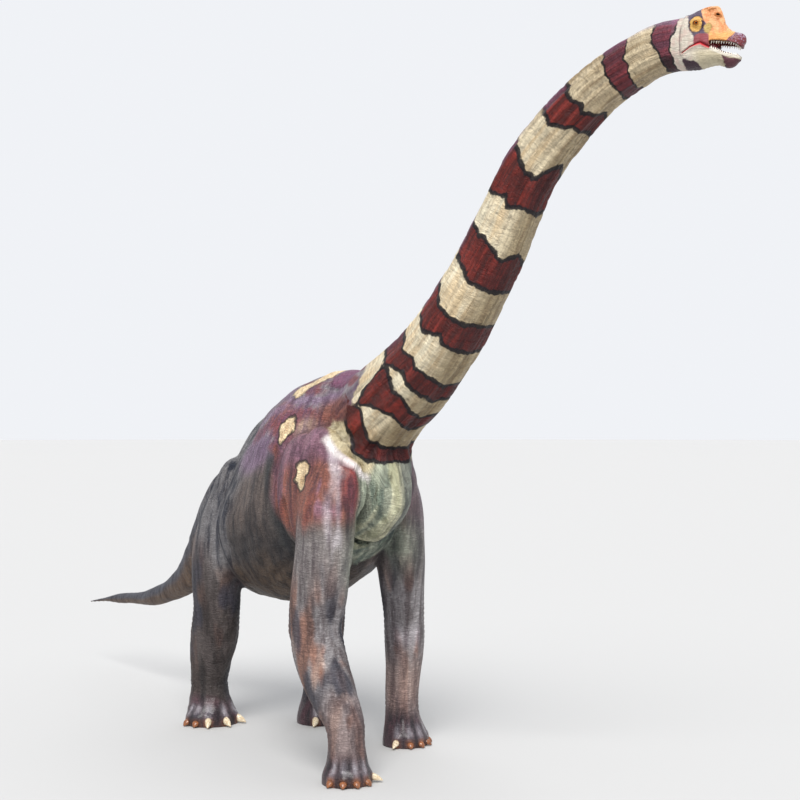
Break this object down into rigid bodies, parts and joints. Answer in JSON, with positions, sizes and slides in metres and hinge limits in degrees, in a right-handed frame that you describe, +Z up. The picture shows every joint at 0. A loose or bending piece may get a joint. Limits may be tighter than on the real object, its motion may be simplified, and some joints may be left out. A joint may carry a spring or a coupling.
{
  "type": "brachiosaur statue",
  "caption": "Life-size painted fibreglass statue of a standing brachiosaur, long neck raised and turned to its left, mouth open, tail held low behind.",
  "frame": {"origin": "on the ground, below the middle of the figure's bounding box", "axes": "+Z up, the animal faces -Y, its left side is towards +X"},
  "size_m": [3.5418, 19.04, 11.4572],
  "materials": {
    "skin_neck": "hand-painted fibreglass, satin gloss: cream with maroon bands edged in black",
    "skin_body": "hand-painted fibreglass, satin gloss: grey-brown with maroon and purple shoulders and cream patches",
    "skin_legs": "hand-painted fibreglass, satin gloss: streaked grey, brown and dark blue",
    "skin_feet": "hand-painted fibreglass, gloss: dark purple-black",
    "skin_tail": "hand-painted fibreglass, satin gloss: grey-brown with a blue-grey streak along the top",
    "skin_head": "hand-painted fibreglass, satin gloss: orange crest and face, purple muzzle and eye surround, cream cheek",
    "skin_jaw": "hand-painted fibreglass, satin gloss: cream-grey with a dark chin and red mouth edge",
    "claw": "painted resin, gloss ivory",
    "nail": "painted resin, gloss orange-brown",
    "eye": "clear-coated resin, high gloss, dark amber"
  },
  "bodies": {
    "root": {"claw_front_left_thumb": "claw", "claw_front_right_thumb": "claw", "claw_hind_left_1": "claw", "claw_hind_left_2": "claw", "claw_hind_left_3": "claw", "claw_hind_right_1": "claw", "claw_hind_right_2": "claw", "claw_hind_right_3": "claw", "eye_left": "eye", "eye_right": "eye", "foot_front_left": "skin_feet", "foot_front_right": "skin_feet", "foot_hind_left": "skin_feet", "foot_hind_right": "skin_feet", "head": "skin_head", "leg_front_left": "skin_legs", "leg_front_right": "skin_legs", "leg_hind_left": "skin_legs", "leg_hind_right": "skin_legs", "lower_jaw": "skin_jaw", "nail_front_left_2": "nail", "nail_front_left_3": "nail", "nail_front_left_4": "nail", "nail_front_left_5": "nail", "nail_front_right_2": "nail", "nail_front_right_3": "nail", "nail_front_right_4": "nail", "nail_front_right_5": "nail", "nail_hind_left_4": "nail", "nail_hind_left_5": "nail", "nail_hind_right_4": "nail", "nail_hind_right_5": "nail", "neck_1_base": "skin_neck", "neck_2": "skin_neck", "neck_3": "skin_neck", "neck_4_nape": "skin_neck", "tail_1_root": "skin_tail", "tail_2": "skin_tail", "tail_3_tip": "skin_tail", "trunk_belly": "skin_body", "trunk_chest": "skin_body", "trunk_hips": "skin_body"}
  },
  "joints": []
}
